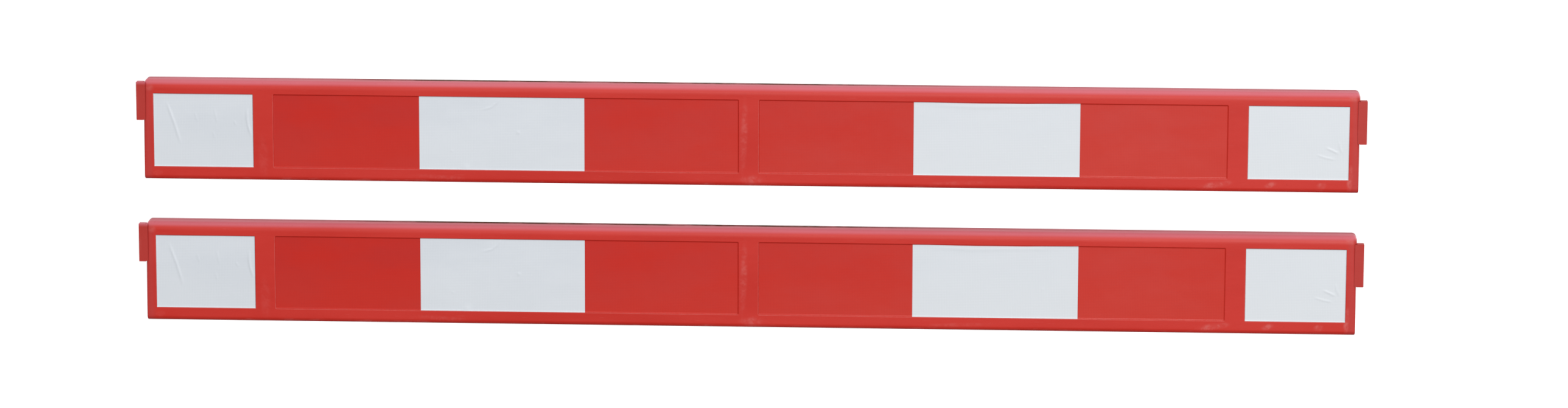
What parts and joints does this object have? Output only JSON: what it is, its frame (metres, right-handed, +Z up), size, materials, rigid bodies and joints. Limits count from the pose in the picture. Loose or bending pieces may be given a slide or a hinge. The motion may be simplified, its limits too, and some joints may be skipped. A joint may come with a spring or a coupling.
{
  "type": "barricade rail pair",
  "caption": "Long hollow plastic barricade rails, one above the other, with recessed red and white reflective blocks and end tongues that hook into posts.",
  "frame": {"origin": "middle of the lower rail's bottom edge, half way through its thickness", "axes": "+X along the rails to the right as seen from the front, +Y from the front face to the rear, +Z up"},
  "size_m": [2.53, 0.055, 0.506],
  "materials": {
    "rail_plastic": "moulded, slightly worn satin",
    "tongue_plastic": "moulded matte",
    "white_sheeting": "fine beaded reflective film, semi-gloss",
    "red_sheeting": "smooth reflective film, semi-gloss",
    "screw_steel": "zinc plated",
    "bolt_steel": "zinc plated"
  },
  "bodies": {
    "lower_rail": {"lower_front_shell": "rail_plastic", "lower_rear_shell": "rail_plastic", "lower_left_tongue": "tongue_plastic", "lower_right_tongue": "tongue_plastic", "lower_shell_screws": "screw_steel", "lower_tongue_bolts": "bolt_steel", "lower_tongue_nuts": "bolt_steel", "lower_front_white_left_end": "white_sheeting", "lower_front_red_left_outer": "red_sheeting", "lower_front_white_left_middle": "white_sheeting", "lower_front_red_left_inner": "red_sheeting", "lower_front_red_right_inner": "red_sheeting", "lower_front_white_right_middle": "white_sheeting", "lower_front_red_right_outer": "red_sheeting", "lower_front_white_right_end": "white_sheeting", "lower_rear_white_left_end": "white_sheeting", "lower_rear_red_left_outer": "red_sheeting", "lower_rear_white_left_middle": "white_sheeting", "lower_rear_red_left_inner": "red_sheeting", "lower_rear_red_right_inner": "red_sheeting", "lower_rear_white_right_middle": "white_sheeting", "lower_rear_red_right_outer": "red_sheeting", "lower_rear_white_right_end": "white_sheeting"},
    "upper_rail": {"upper_front_shell": "rail_plastic", "upper_rear_shell": "rail_plastic", "upper_left_tongue": "tongue_plastic", "upper_right_tongue": "tongue_plastic", "upper_shell_screws": "screw_steel", "upper_tongue_bolts": "bolt_steel", "upper_tongue_nuts": "bolt_steel", "upper_front_white_left_end": "white_sheeting", "upper_front_red_left_outer": "red_sheeting", "upper_front_white_left_middle": "white_sheeting", "upper_front_red_left_inner": "red_sheeting", "upper_front_red_right_inner": "red_sheeting", "upper_front_white_right_middle": "white_sheeting", "upper_front_red_right_outer": "red_sheeting", "upper_front_white_right_end": "white_sheeting", "upper_rear_white_left_end": "white_sheeting", "upper_rear_red_left_outer": "red_sheeting", "upper_rear_white_left_middle": "white_sheeting", "upper_rear_red_left_inner": "red_sheeting", "upper_rear_red_right_inner": "red_sheeting", "upper_rear_white_right_middle": "white_sheeting", "upper_rear_red_right_outer": "red_sheeting", "upper_rear_white_right_end": "white_sheeting"}
  },
  "joints": [
    {"name": "upper_rail_lift", "type": "slide", "parent": "lower_rail", "child": "upper_rail", "axis": [0, 0, 1], "range_m": [0, 0.12]}
  ]
}
